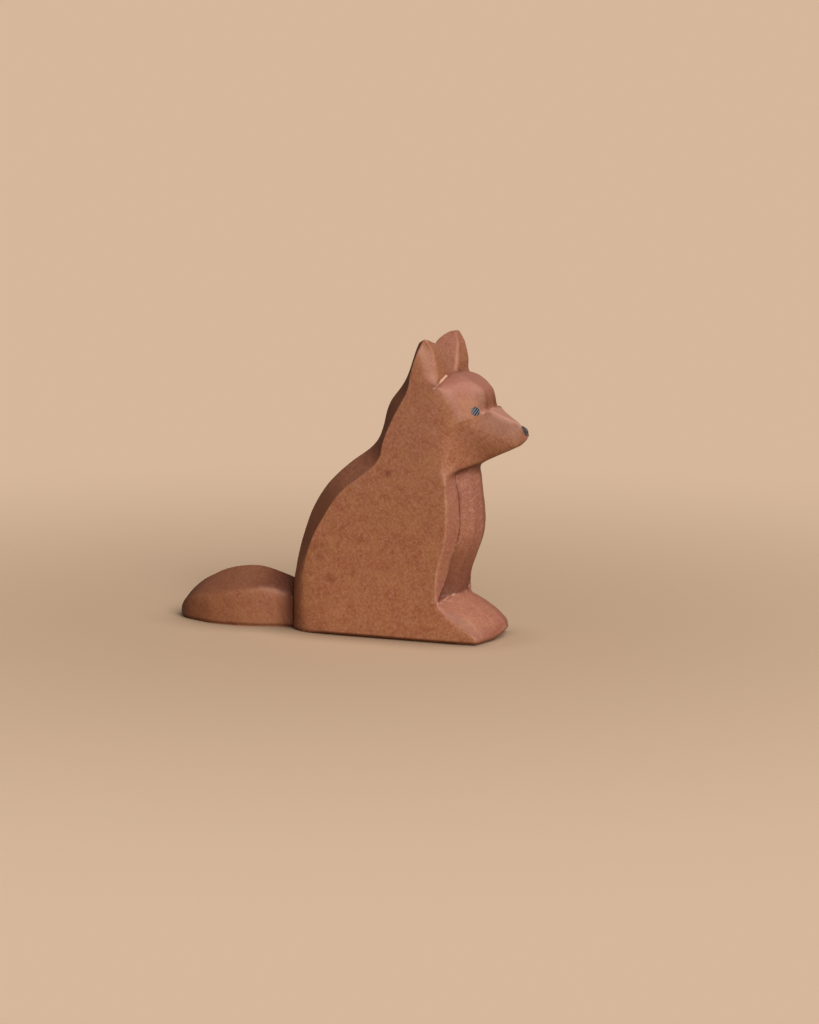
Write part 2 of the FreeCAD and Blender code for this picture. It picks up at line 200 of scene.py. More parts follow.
def copy_of_solid(solid, name):
    """A piece of its own with a CAD node's shape, its loose triangles joined."""
    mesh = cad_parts[solid].data.copy()
    mesh.name = name
    mesh.materials.clear()
    piece = bpy.data.objects.new(name, mesh)
    bpy.context.scene.collection.objects.link(piece)
    only(piece)
    bpy.ops.object.mode_set(mode="EDIT")
    bpy.ops.mesh.select_all(action="SELECT")
    bpy.ops.mesh.remove_doubles(threshold=SAME_PLACE)
    bpy.ops.mesh.normals_make_consistent(inside=False)
    bpy.ops.object.mode_set(mode="OBJECT")
    return piece


def even_faces(piece, width):
    """Close, even faces all over, which a knife stroke can be pressed into."""
    remesh = piece.modifiers.new("even faces", "REMESH")
    remesh.mode = "VOXEL"
    remesh.voxel_size = width * MM
    apply_all(piece)


def select_points(piece, wanted):
    """Selects the wanted points and no others, and stays in edit mode."""
    only(piece)
    bpy.ops.object.mode_set(mode="EDIT")
    bpy.ops.mesh.select_mode(type="VERT")
    bpy.ops.mesh.select_all(action="DESELECT")
    bpy.ops.object.mode_set(mode="OBJECT")
    piece.data.vertices.foreach_set("select", wanted)
    bpy.ops.object.mode_set(mode="EDIT")


def places_of(piece):
    """The points of a mesh in millimetres, one row each."""
    flat = np.empty(len(piece.data.vertices) * 3)
    piece.data.vertices.foreach_get("co", flat)
    return flat.reshape(-1, 3) / MM


def normals_of(piece):
    """Which way the surface faces at each point, one row each."""
    flat = np.empty(len(piece.data.vertices) * 3)
    piece.data.vertices.foreach_get("normal", flat)
    return flat.reshape(-1, 3)


def move_to(piece, places):
    piece.data.vertices.foreach_set("co", (places * MM).ravel())
    piece.data.update()


def reshape(piece, *changes):
    """Each change takes the places of the points and gives their new places."""
    for change in changes:
        move_to(piece, change(places_of(piece)))


def ends_of_edges(piece):
    flat = np.empty(len(piece.data.edges) * 2, dtype=int)
    piece.data.edges.foreach_get("vertices", flat)
    return flat.reshape(-1, 2)


def neighbour_mean(values, ends):
    """For each point, the mean of its neighbours' values."""
    count = len(values)
    taken = np.concatenate([ends[:, 0], ends[:, 1]])
    amount = np.maximum(np.bincount(taken, minlength=count), 1)
    columns = values.reshape(count, -1)
    means = np.empty_like(columns)
    for i in range(columns.shape[1]):
        given = np.concatenate([columns[ends[:, 1], i], columns[ends[:, 0], i]])
        means[:, i] = np.bincount(taken, weights=given, minlength=count) / amount
    return means.reshape(values.shape)


def rise(values, start, end):
    """From 0 at start to 1 at end, with a soft foot and shoulder."""
    t = np.clip((values - start) / (end - start), 0, 1)
    return t * t * (3 - 2 * t)


def soften(piece, weights, rounds, pull=0.5, spring=0.507):
    """Sanding: the stronger the weight, the rounder the edges. The spring back keeps the form
    as wide as it was."""
    places = places_of(piece)
    ends = ends_of_edges(piece)
    for _ in range(rounds):
        for push in (pull, -spring):
            places += (neighbour_mean(places, ends) - places) * weights[:, None] * push
    move_to(piece, places)


def soften_all(piece):
    """Two rounds all over take off the steps that the even faces leave."""
    soften(piece, np.ones(len(piece.data.vertices)), 2)


def sand_away(piece, weight_at, rounds):
    """Sanding without the spring back, which takes an edge right away."""
    soften(piece, weight_at(places_of(piece)), rounds, spring=0)


def uneven(places, size, seed):
    """Smooth noise at each point, about -1 to 1, with bumps about as wide as size."""
    shift = Vector([seed * step for step in SEED_STEPS])
    return np.array([noise.noise(Vector(place) / size + shift) for place in places])


def swell(piece, swells, sawn=0):
    """The slight swells that hand work leaves, less on sawn faces and none at the floor."""
    places = places_of(piece)
    height = sum(uneven(places, size, seed) * amount for size, amount, seed in swells)
    height = (height * (1 - 0.4 * sawn) - 0.08 * sawn) * rise(places[:, 2], 0.1, 1.5)
    move_to(piece, places + normals_of(piece) * height[:, None])


def distance_to_line(places, points):
    """Distance to a line through points, and how far along it the nearest place is, 0 to 1."""
    best = np.full(len(places), np.inf)
    along = np.zeros(len(places))
    points = np.array(points, float)
    steps = np.linalg.norm(np.diff(points, axis=0), axis=1)
    done = 0.0
    for a, b, step in zip(points, points[1:], steps):
        t = np.clip(((places - a) @ (b - a)) / (step * step), 0, 1)
        away = np.linalg.norm(places - (a + t[:, None] * (b - a)), axis=1)
        nearer = away < best
        best = np.where(nearer, away, best)
        along = np.where(nearer, (done + t * step) / steps.sum(), along)
        done += step
    return best, along


def close_to(places, line, inner, outer):
    """1 within inner of a line, 0 beyond outer."""
    away, _ = distance_to_line(places, line)
    return 1 - rise(away, inner, outer)


def folded(places):
    """Places as they lie on one side of the middle, for cuts that both sides have."""
    return np.column_stack([places[:, 0], np.abs(places[:, 1]), places[:, 2]])


def write_values(piece, **values):
    """Writes named values on the points, which the materials read."""
    for name, at_points in values.items():
        layer = piece.data.attributes.new(name, "FLOAT", "POINT")
        layer.data.foreach_set("value", at_points.astype(np.float32))


def mark_edges(piece):
    """Notes how far each place stands out as an edge or lies back as a hollow."""
    places = places_of(piece)
    ends = ends_of_edges(piece)
    bend = ((places - neighbour_mean(places, ends)) * normals_of(piece)).sum(axis=1)
    for _ in range(3):
        bend = neighbour_mean(bend, ends)
    write_values(piece, edge=np.clip(bend / FULL_EDGE, 0, 1),
                 hollow=np.clip(-bend / FULL_EDGE, 0, 1))


# Where the body is sanded
def above_jaw(x, z):
    """Height over the sloping line of the jaw."""
    return z - (48.6 + JAW_SLOPE * (x - 38.8))


def sanding_of_body(places):
    """How round each part of the body was sanded, 0 to 1."""
    half = folded(places)
    x, side, z = half.T
    head = rise(x, 27, 31) * rise(z, 50.5, 54) * (1 - rise(z, 71, 73.5) * (1 - rise(x, 31, 33)))
    weight = head * (0.25 + 0.75 * rise(side, 1.0, 3.5))
    weight *= 1 - 0.9 * close_to(half, BROW_CREASE, 0.8, 3.2)
    weight *= 1 - 0.8 * close_to(half, EAR_ROOT, 0.6, 2.2)
    jaw = 1 - rise(above_jaw(x, z), 0.3, 2.0)
    weight *= (1 - 0.3 * jaw) * (1 - 0.6 * rise(x, 47, 50))
    low_back = (1 - rise(z, 16, 30)) * (1 - rise(x, -10, -2)) * rise(side, 7, 9)
    ear_front = close_to(half, EAR_FRONT, 0.5, 2.5)
    toe = rise(x, 35, 38) * (1 - rise(z, 5, 8))
    ears = rise(z, 72, 74)
    weight = np.maximum.reduce([weight, 0.5 * low_back, 0.9 * ear_front, 0.2 * toe, 0.8 * ears])
    return np.clip(0.02 + weight, 0, 1)


def cheeks(places):
    """Where the knife's facets on the sides of the head are sanded right away."""
    half = folded(places)
    x, side, z = half.T
    top_band = np.interp(x, [30, 39, 41.2, 45, 48, 51], [3.5, 4.5, 4.9, 2.9, 1.3, 0.6])
    weight = rise(x, 29.5, 32.5) * rise(z, 50.5, 53.5)
    weight *= rise(side, top_band - 0.3, top_band + 2.0)
    weight *= 1 - close_to(half, BROW_CREASE, 1.0, 3.0)
    weight *= 1 - 0.9 * close_to(half, EAR_ROOT, 0.8, 2.6)
    jaw = 1 - rise(above_jaw(x, z), 0.8, 3.0)
    return weight * (1 - 0.9 * jaw)


def throat(places):
    """Where the jaw runs into the neck without a hard corner."""
    x, _, z = places.T
    near = 1 - rise(np.abs(z - (47.5 + 0.2 * (x - 35))), 1.2, 3.6)
    return 0.8 * near * rise(x, 31.5, 34) * (1 - rise(x, 42, 48))


def folds_of_foot(places):
    """The folds beside the foot and its front corners, which the sanding left soft."""
    half = folded(places)
    folds = np.maximum(close_to(half, FOOT_FOLD, 0.8, 2.8), close_to(half, FOOT_SIDE, 0.6, 2.4))
    return np.maximum(folds * rise(places[:, 2], 0.3, 2.0), close_to(half, FOOT_CORNER, 0.8, 3.0))


def ear_edges(places):
    """The edges of the ears that the sanding took right away."""
    half = folded(places)
    z = places[:, 2]
    edges = np.maximum(close_to(half, EAR_OUTER_EDGE, 0.8, 3.2),
                       0.5 * close_to(half, EAR_INNER_EDGE, 0.3, 1.6))
    return edges * rise(z, 70.5, 73) * (1 - rise(z, 80.3, 82.3))


def rump(places):
    """The flank runs round into the back beside the tail."""
    x, y, z = places.T
    low = (1 - rise(z, 13, 26)) * rise(z, 0.3, 2.0)
    return low * (1 - rise(x, -7, -2)) * rise(np.abs(y), 5, 8)


def snout_end(places):
    """The last of the snout, where the paint of the nose comes."""
    return rise(places[:, 0], 49.3, 50.5) * (places[:, 2] > 50)


# Shapes of the body that the sawn block doesn't have. Each gives the points new places.
def round_ear_tips(places):
    """Both ears are rounded over towards the gap between them, the far one more."""
    _, y, z = places.T
    amount = np.where(y > 0, 0.085, 0.02)
    limit = 82.95 - amount * (12.3 - np.minimum(np.abs(y), 12.3)) ** 2
    places[:, 2] = np.where((z > 76) & (z > limit), limit + (z - limit) * 0.1, z)
    return places


def round_snout_tip(places):
    """The chin curves up into the nose, and the nose is full at its top."""
    x, _, z = places.T
    past = np.maximum(x - 49.5, 0)
    lowest = 53.55 + JAW_SLOPE * past + 0.25 * past ** 1.8
    places[:, 2] = np.where((x > 49.5) & (z > 50) & (z < lowest), lowest + (z - lowest) * 0.3, z)
    fuller = close_to(places, NOSE_TOP, 0.3, 2.2)
    places[:, 0] += 0.5 * fuller
    places[:, 2] += 0.9 * fuller
    return places


def round_ear_fronts(places):
    """Each ear's outer side curves round into its front, the near one more."""
    x, y, z = places.T
    front = np.interp(z, [71.5, 74.0, 76.6, 79.2, 81.8], [30.4, 30.0, 29.2, 28.2, 26.3])
    near = np.clip(1 - (front - x) / 4.5, 0, 1) ** 2
    inset = 0.17 * near * rise(z, 70.8, 73.5) * rise(np.abs(y), 6.5, 10)
    inset *= 1 - 0.35 * rise(z, 79, 83)
    places[:, 1] *= 1 - inset * np.where(y < 0, 1.0, 0.25)
    return places


def fill_foot(places):
    """The foot stays wide down to the floor, most at its near corner, and is cut away under
    the toe."""
    x, y, z = places.T
    amount = np.interp(y, [-12.5, -8.0, -4.0, 4.0, 9.0], [2.5, 1.7, 0.7, 0.7, 1.3])
    filled = x + amount * rise(x, 34, 39) * (1 - rise(z, 1, 5))
    reach = np.interp(y, [-12.5, -6.4, 2.5, 11.0], [44.0, 43.6, 42.4, 40.3]) + 1.05 * z
    places[:, 0] = np.where((z < 4) & (filled > reach), reach + 0.1 * (filled - reach), filled)
    return places


def round_rump(places):
    """Low down, the flank curves in towards the back."""
    x, _, z = places.T
    back = np.clip((-9.0 - x) / 7.5, 0, 1)
    fuller = (HALF_PLANK - 3.5 * back ** 2.2) / (HALF_PLANK - 3.5 * back) - 1
    places[:, 1] *= 1 + fuller * (1 - rise(z, 9, 25))
    return places


def push_brow(places):
    """The brow stands out over the crease that parts it from the snout."""
    x, y, z = places.T
    bulge = rise(z, 57.5, 63.0) * (1 - rise(z, 66.0, 72.5))
    bulge *= rise(x, 35.5, 39) * (1 - rise(np.abs(y), 3.5, 7))
    places[:, 0] += BROW_OUT * bulge
    return places


def turn_under(places):
    """The cheeks and the sides of the snout are full, and turn under towards the jaw."""
    x, _, z = places.T
    up = np.clip(above_jaw(x, z) / 13, 0, 1)
    under = (0.42 * (1 - up) ** 0.7 + 0.2 * (1 - up) ** 3) * rise(x, 31, 42)
    fuller = np.interp(x, [28, 30, 32, 34, 36, 38, 41, 44, 48, 52],
                       [0, 0.004, 0.016, 0.04, 0.068, 0.068, 0.05, 0.035, 0.02, 0])
    places[:, 1] *= 1 - (under + fuller) * rise(z, 45.5, 48.5) * (1 - rise(z, 70, 73))
    return places


def fill_far_ear(places):
    """The left ear is the fuller of the two."""
    x, y, z = places.T
    left = rise(y, 1, 3)
    forward = left * rise(z, 72.5, 76.0) * (1 - rise(z, 79.8, 82.0)) * rise(x, 25.5, 28.5)
    places[:, 0] += FAR_EAR_FORWARD * forward
    places[:, 2] += FAR_EAR_UP * left * rise(z, 78.5, 81.5)
    return places


def pocket_side(z):
    """How far out from the middle the pocket above the foot reaches."""
    return np.interp(z, [11.2, 15.2, 18.8, 24.5, 29.5], [11.4, 9.2, 8.1, 7.9, 7.9])


def sink_pocket(places):
    """The notch above the foot is cut deepest along the edge of the foreleg."""
    x, side, z = folded(places).T
    edge = pocket_side(z)
    deep = (1 - rise(z, 19, 30)) * rise(z, 11.0, 12.5) * rise(x, 27, 29)
    across = 1 - np.clip((edge - side) / POCKET_WIDTH, 0, 1)
    inside = 1 - rise(side, edge - 0.3, edge + 0.1)
    places[:, 0] -= POCKET_DEPTH * deep * across * inside
    return places


def hold_in(places):
    """Nothing stands out past the sawn faces of the plank or the floor."""
    low, high = [np.array(corner) / MM for corner in cad_box]
    return np.clip(places, low, high)


def scoop_brow(piece):
    """Over the crease between brow and snout, a shallow scoop on each side of the middle."""
    places = places_of(piece)
    half = folded(places)
    x, side, z = half.T
    above = z - 64.0
    deep = np.where(above > -0.2, np.clip(1 - above / 4.5, 0, 1), 0)
    deep *= close_to(half, BROW_CREASE, 3.5, 5.5) * rise(side, 0.1, 2.8) * rise(x, 37.5, 39.5)
    deep *= 1 - rise(side, 3.4, 6.8)
    move_to(piece, places - normals_of(piece) * (SCOOP_DEPTH * deep)[:, None])


def ease_bottom(piece):
    """The lower rim is rubbed round, so that it meets the floor in a fine dark line."""
    places = places_of(piece)
    ease = RIM_INSET * np.clip(1 - places[:, 2] / RIM_HEIGHT, 0, 1) ** 2
    places[:, :2] -= normals_of(piece)[:, :2] * ease[:, None]
    move_to(piece, places)


def finer_near(piece, lines):
    """Smaller faces along the lines that get fine cuts."""
    places = folded(places_of(piece))
    near = [distance_to_line(places, line)[0] < CUT_REACH for line in lines]
    select_points(piece, np.logical_or.reduce(near))
    bpy.ops.mesh.subdivide(number_cuts=1, smoothness=0)
    bpy.ops.mesh.select_all(action="DESELECT")
    bpy.ops.object.mode_set(mode="OBJECT")


def score(piece, line, half_width, depth, ragged, seed):
    """A cut of a knife point along a line, on both sides of the body."""
    places = places_of(piece)
    half = folded(places)
    near = np.flatnonzero(close_to(half, line, half_width, half_width + WANDER_ROOM) > 0)
    away, along = distance_to_line(half[near], line)
    wander = uneven(places[near], WANDER_SIZE, seed) * ragged
    taper = np.minimum(1, np.minimum(along, 1 - along) / CUT_RUN_IN + CUT_START)
    press = np.clip(1 - (away + wander) / half_width, 0, 1) * depth * taper
    places[near] -= normals_of(piece)[near] * press[:, None]
    move_to(piece, places)


def make_body():
    piece = copy_of_solid("body", "fox_body")
    even_faces(piece, BODY_FACE)
    reshape(piece, round_ear_tips, round_snout_tip, round_ear_fronts, fill_foot, round_rump,
            push_brow)
    soften_all(piece)
    soften(piece, sanding_of_body(places_of(piece)), 50)
    sand_away(piece, cheeks, 90)
    reshape(piece, turn_under)
    for edges, rounds in ((throat, 70), (folds_of_foot, 22), (ear_edges, 26), (rump, 170)):
        sand_away(piece, edges, rounds)
    reshape(piece, fill_far_ear)
    sand_away(piece, snout_end, 6)
    reshape(piece, sink_pocket)
    swell(piece, BODY_SWELLS, sawn=rise(np.abs(normals_of(piece)[:, 1]), 0.94, 0.99))
    finer_near(piece, [cut[0] for cut in CUTS] + [BROW_CREASE])
    scoop_brow(piece)
    for cut in CUTS:
        score(piece, *cut)
    ease_bottom(piece)
    reshape(piece, hold_in)
    return piece


# Values on the body's points
def gathered_on_body(places, normals, rough):
    """Painted shade, and stain pooled in the cuts: darker in cuts and creases, in the pocket, at
    the jaw corner, on the snout's sides, on faces turned back, on the side of the foot and beside
    the tail.
    """
    half = folded(places)
    x, side, z = half.T
    edge = pocket_side(z)
    floor_up = np.interp(side, [0, 6, 11.4], [13.2, 12.2, 10.6])
    pocket = (1 - rise(z, 14, 31)) * rise(z - floor_up, -0.2, 0.4) * rise(x, 28, 30)
    pocket *= 1 - rise(side, edge - 0.4, edge + 0.1)
    pocket *= 0.75 + 0.25 * rise(side, 2, 8)
    # How far forward a place lies doesn't count here, so the groove is dark to its full depth
    forward, _, up = np.array(GROOVE[-2::-1]).T
    pressed = half.copy()
    pressed[:, 0] = np.where(x > 32, np.interp(z, up, forward), x)
    groove = close_to(pressed, GROOVE, 0.12, 0.5) * rise(x, 31, 33) * (1 - rise(x, 38, 39))
    brow = (1 - rise(z, 65, 70.5)) * rise(z, 63.8, 64.3) * rise(x, 37.0, 39.5)
    brow *= 1 - rise(side, 4.4, 6.4)
    snout = rise(x, 34, 40) * rise(np.abs(normals[:, 1]), 0.5, 0.8)
    snout *= (1 - rise(z, 61, 67)) * rise(z, 46, 50)
    # Painted shade on faces turned back, away from the window
    turned_back = rise(-normals[:, 0], 0.25, 0.6) * (0.25 + 0.75 * rise(z, 10, 26))
    # Painted shade on the rump beside the tail
    beside_tail = (1 - rise(x, -17.5, -8.0)) * (1 - rise(z, 12, 25))
    foot_side = rise(side, 10.0, 11.2) * (1 - rise(np.abs(normals[:, 1]), 0.8, 0.95))
    foot_side *= rise(x, 31, 33) * (1 - rise(z, 8.5, 10.5))
    # Every share below is painted shade; in the groove, the brow crease and the ear root it also
    # stands for stain pooled in the cut
    gathered = np.maximum.reduce([
        0.22 * foot_side, 0.88 * pocket, 0.8 * groove, 0.5 * brow, 0.34 * snout,
        0.45 * close_to(half, EAR_ROOT, 0.2, 1.4), 0.5 * close_to(half, JAW_CORNER, 0.8, 3.0),
        0.6 * turned_back, 0.95 * beside_tail])
    return np.clip(gathered + 0.12 * rough * (gathered > 0.05), 0, 1)


def bare_on_body(places, normals, rough):
    """Where unstained wood shows, at the nicks at the ear and along rubbed edges, and painted
    highlights under the brow crease, on the ledge of the pocket floor and on the top of the snout.
    """
    half = folded(places)
    x, side, z = half.T
    edge = pocket_side(z)
    coarse = uneven(places, 2.2, 22)
    nick = close_to(places, NICK, 0.15, 0.6) * np.clip(0.8 + 0.9 * rough, 0, 1)
    nick *= 0.3 + 0.7 * rise(HALF_PLANK + places[:, 1], 1.5, 5)
    second_nick = close_to(places, SECOND_NICK, 0.1, 0.4)
    strip = close_to(half, STRIP_EDGE, 0.1, 1.1) * rise(rough + coarse, -0.6, 0.8)
    ledge = close_to(half, POCKET_FLOOR, 0.15, 0.6) * rise(rough, -0.4, 0.4)
    ledge *= rise(side, 1.5, 3.5)
    pocket_rim = close_to(half, POCKET_EDGE, 0.1, 0.7) * rise(side, edge, edge + 0.3)
    pocket_rim *= rise(rough, -0.3, 0.5)
    snout_top = rise(normals[:, 2], 0.1, 0.8) * rise(x, 42, 43.5) * rise(z, 54, 56)
    # The nicks, the strip and the pocket rim show wood through the stain; the ledge, the under
    # crease and the snout's top are painted highlights
    return np.maximum.reduce([
        nick, 0.75 * second_nick, 0.12 * strip, 0.45 * ledge, 0.5 * pocket_rim,
        0.32 * close_to(half, UNDER_CREASE, 0.1, 0.6), 0.18 * snout_top])


def paint_body(piece):
    """Painted shade with stain pooled in the cuts, unstained wood and painted highlights, knife
    strokes and hatching, painted shade on low faces turned forward, and painted sheen on faces
    turned up.
    """
    places = places_of(piece)
    normals = normals_of(piece)
    x, side, z = folded(places).T
    rough = uneven(places, 0.8, 21)
    face = rise(x, 33, 38) * rise(z, 49, 53) * (1 - rise(z, 62, 64))
    chest = rise(x, 33, 34.5) * (1 - rise(side, 7.2, 8.0)) * rise(z, 24, 30)
    chest *= 1 - rise(z, 45, 47)
    # Painted sheen: lighter on faces turned up, higher up the flank, on the snout's top and on the
    # forehead
    flank = 0.3 * rise(z, 25, 65) * np.abs(normals[:, 1]) * (1 - rise(x, 30, 34))
    snout_top = 1.3 * rise(normals[:, 2], 0.2, 0.85) * rise(x, 40.5, 42) * rise(z, 54, 56)
    forehead = 0.65 * rise(x, 30, 33) * rise(z, 65, 70)
    turned = 0.12 * normals[:, 0] + 0.9 * normals[:, 2] + flank + snout_top + forehead
    write_values(piece, gathered=gathered_on_body(places, normals, rough),
                 bare=bare_on_body(places, normals, rough), stroked=face, hatched=chest,
                 # Painted shade on low faces turned forward
                 forward=rise(normals[:, 0], 0.5, 0.9) * (1 - rise(z, 46, 50)),
                 turned=np.clip(turned, 0, 2))


# Tail: a leaf of its own, pegged to the rump
def shoulder(places):
    """Where the facets of the tail run into its flat sides."""
    x, _, z = places.T
    high = rise(z, 4, 6.5) * (1 - rise(z, 11.8, 13.6))
    return high * rise(x, -45, -39) * (1 - rise(x, -17.5, -15.5))


def make_tail():
    piece = copy_of_solid("tail", "fox_tail")
    even_faces(piece, TAIL_FACE)
    x, _, z = places_of(piece).T
    weights = 0.05 + 0.95 * rise(z, 1.0, 3.5) * (1 - rise(x, -19, -15.5))
    soften_all(piece)
    soften(piece, weights, 40)
    soften(piece, weights * rise(places_of(piece)[:, 2], 2.0, 5.0), 60, spring=0.25)
    sand_away(piece, shoulder, 60)
    swell(piece, TAIL_SWELLS)
    ease_bottom(piece)
    reshape(piece, hold_in)
    return piece


def paint_tail(piece):
    """Painted shadow of the body by the seam, painted shade at the tip and a little on the top,
    and a little painted sheen on faces turned up.
    """
    x, _, z = places_of(piece).T
    up = normals_of(piece)[:, 2]
    above = rise(up, 0.35, 0.8)
    # Painted shadow of the body over the tail's top and side by the seam
    seam = above * rise(x, -31, -18) + (1 - above) * rise(x, -20.5, -15.5)
    tip = 1 - rise(x, -52.3, -42)
    nowhere = np.zeros(len(x))
    write_values(piece, gathered=np.clip(0.85 * seam + 0.9 * tip + 0.25 * above, 0, 1),
                 bare=nowhere, stroked=0.5 * rise(z, 1, 4), hatched=nowhere, forward=nowhere,
                 turned=np.clip(0.3 * up, 0, 1))


# Paint
def make_eye(name, body, middle):
    """A small domed dot of paint on the side of the head."""
    _, place, normal, _ = body.closest_point_on_mesh(Vector(middle) * MM)
    bpy.ops.object.select_all(action="DESELECT")
    bpy.ops.mesh.primitive_cylinder_add(vertices=48, radius=EYE_RADIUS * MM,
                                        depth=EYE_THICKNESS * MM, location=place)
    piece = bpy.context.active_object
    piece.name = piece.data.name = name
    piece.rotation_euler = normal.to_track_quat("Z", "Y").to_euler()
    only(piece)
    bpy.ops.object.transform_apply(location=False, rotation=True, scale=False)
    bpy.ops.object.mode_set(mode="EDIT")
    bpy.ops.mesh.select_mode(type="FACE")
    bpy.ops.mesh.select_all(action="DESELECT")
    bpy.ops.object.mode_set(mode="OBJECT")
    for face in piece.data.polygons:
        face.select = face.normal.dot(normal) > 0.9
    bpy.ops.object.mode_set(mode="EDIT")
    for inward, outward in EYE_DOME:
        bpy.ops.mesh.inset(thickness=inward * MM)
        bpy.ops.transform.translate(value=tuple(normal * outward * MM))
    bpy.ops.object.mode_set(mode="OBJECT")
    bpy.ops.object.transform_apply(location=True, rotation=False, scale=False)
    bpy.ops.object.shade_smooth_by_angle(angle=math.radians(50))
    return piece


def make_nose(body):
    """A coat of paint over the tip of the snout, lifted from the wood's own surface."""
    only(body)
    bpy.ops.object.duplicate()
    piece = bpy.context.active_object
    piece.name = piece.data.name = "nose_paint"
    x, _, z = places_of(piece).T
    select_points(piece, ~((x > 47) & (z > 55)))
    bpy.ops.mesh.delete(type="VERT")
    bpy.ops.mesh.select_all(action="SELECT")
    bpy.ops.mesh.subdivide(number_cuts=3, smoothness=1)
    bpy.ops.object.mode_set(mode="OBJECT")
    x, _, z = places_of(piece).T
    inside = np.minimum(x - 50.9 - 0.5 * (58.4 - z), z - 56.7)
    select_points(piece, inside < 0)
    bpy.ops.mesh.delete(type="VERT")
    bpy.ops.object.mode_set(mode="OBJECT")
    move_to(piece, places_of(piece) + normals_of(piece) * NOSE_LIFT)
    coat = piece.modifiers.new("coat", "SOLIDIFY")
    coat.thickness = NOSE_COAT * MM
    coat.offset = 0
    apply_all(piece)
    bpy.ops.object.shade_smooth_by_angle(angle=math.radians(60))
    return piece


# Node work
FLOAT, COLOUR, VECTOR = "NodeSocketFloat", "NodeSocketColor", "NodeSocketVector"
MIX_FIRST, MIX_SECOND, MIX_RESULT = 6, 7, 2  # a Mix node's sockets for colours


def feed(tree, socket, value):
    """Links another node's socket to this one, or sets a plain value."""
    if isinstance(value, bpy.types.NodeSocket):
        tree.links.new(value, socket)
    elif value is not None:
        socket.default_value = value


def settle(tree, made, **settings):
    """Gives a node its settings and inputs by name, with _ for a space."""
    for name, value in settings.items():
        if name in made.bl_rna.properties:
            setattr(made, name, value)
        else:
            feed(tree, made.inputs[name.replace("_", " ")], value)
    return made


def node(tree, kind, **settings):
    return settle(tree, tree.nodes.new(kind), **settings)


def colour(red, green, blue):
    """A colour read as 8-bit sRGB, as a shader needs it."""
    def linear(value):
        share = value / 255
        return share / 12.92 if share <= 0.04045 else ((share + 0.055) / 1.055) ** 2.4
    return (linear(red), linear(green), linear(blue), 1)


def maths(tree, operation, *values, clamp=False):
    done = node(tree, "ShaderNodeMath", operation=operation, use_clamp=clamp)
    for socket, value in zip(done.inputs, values):
        feed(tree, socket, value)
    return done.outputs[0]


def vector_maths(tree, operation, *values):
    done = node(tree, "ShaderNodeVectorMath", operation=operation)
    for socket, value in zip(done.inputs, values):
        feed(tree, socket, value)
    return done.outputs["Value" if operation == "LENGTH" else "Vector"]


def mix_colours(tree, share, first, second):
    mixed = node(tree, "ShaderNodeMix", data_type="RGBA", Factor=share)
    feed(tree, mixed.inputs[MIX_FIRST], first)
    feed(tree, mixed.inputs[MIX_SECOND], second)
    return mixed.outputs[MIX_RESULT]


def mix_shaders(tree, share, first, second):
    mixed = node(tree, "ShaderNodeMixShader", Fac=share)
    feed(tree, mixed.inputs[1], first)
    feed(tree, mixed.inputs[2], second)
    return mixed.outputs["Shader"]


def ramp(tree, value, low, high, kind="LINEAR"):
    """0 below low, 1 above high."""
    return node(tree, "ShaderNodeMapRange", interpolation_type=kind, clamp=True, Value=value,
                From_Min=low, From_Max=high).outputs["Result"]


def noise_of(tree, place, scale, detail, roughness, distortion=0.0):
    return node(tree, "ShaderNodeTexNoise", Vector=place, Scale=scale, Detail=detail,
                Roughness=roughness, Distortion=distortion).outputs["Fac"]


def rotated(tree, place, turn):
    return node(tree, "ShaderNodeVectorRotate", rotation_type="EULER_XYZ", Vector=place,
                Rotation=turn).outputs["Vector"]


def bump(tree, height, strength, depth, before=None):
    """Fine relief, laid over the relief before it."""
    return node(tree, "ShaderNodeBump", Strength=strength, Distance=depth, Height=height,
                Normal=before).outputs["Normal"]


def written(tree, name):
    """A value that was written on the points."""
    return node(tree, "ShaderNodeAttribute", attribute_name=name).outputs["Fac"]


def new_group(name, inputs, outputs):
    group = bpy.data.node_groups.new(name, "ShaderNodeTree")
    for label, kind, value in inputs:
        socket = group.interface.new_socket(name=label, in_out="INPUT", socket_type=kind)
        if value is not None:
            socket.default_value = value
    for label, kind in outputs:
        group.interface.new_socket(name=label, in_out="OUTPUT", socket_type=kind)
    given = group.nodes.new("NodeGroupInput").outputs
    return group, given, group.nodes.new("NodeGroupOutput").inputs


def place_group(tree, group, **settings):
    return node(tree, "ShaderNodeGroup", node_tree=group, **settings).outputs


def stain_group():
    """Stain that took unevenly: broad patches, and fine flecks between them."""
    group, given, out = new_group(
        "mottled stain",
        [("Place", VECTOR, None), ("Stain", COLOUR, None), ("Ochre", COLOUR, None),
         ("Red", COLOUR, None), ("Pale", COLOUR, None), ("Patches", FLOAT, 1.0),
         ("Flecks", FLOAT, 1.0)],
        [("Colour", COLOUR), ("Fleck", FLOAT)])
    place = given["Place"]
    patch = noise_of(group, place, scale=170.0, detail=3.0, roughness=0.55, distortion=0.4)
    red = noise_of(group, place, scale=420.0, detail=4.0, roughness=0.6, distortion=0.6)
    fine = noise_of(group, place, scale=1500.0, detail=3.0, roughness=0.7, distortion=0.3)
    fleck = ramp(group, fine, 0.42, 0.70)
    stained = given["Stain"]
    for mask, amount, tint in ((ramp(group, patch, 0.38, 0.66), "Patches", "Ochre"),
                               (ramp(group, red, 0.48, 0.72), "Flecks", "Red"),
                               (fleck, "Flecks", "Pale")):
        share = maths(group, "MULTIPLY", mask, given[amount])
        stained = mix_colours(group, share, stained, given[tint])
    feed(group, out["Colour"], stained)
    feed(group, out["Fleck"], fleck)
    return group


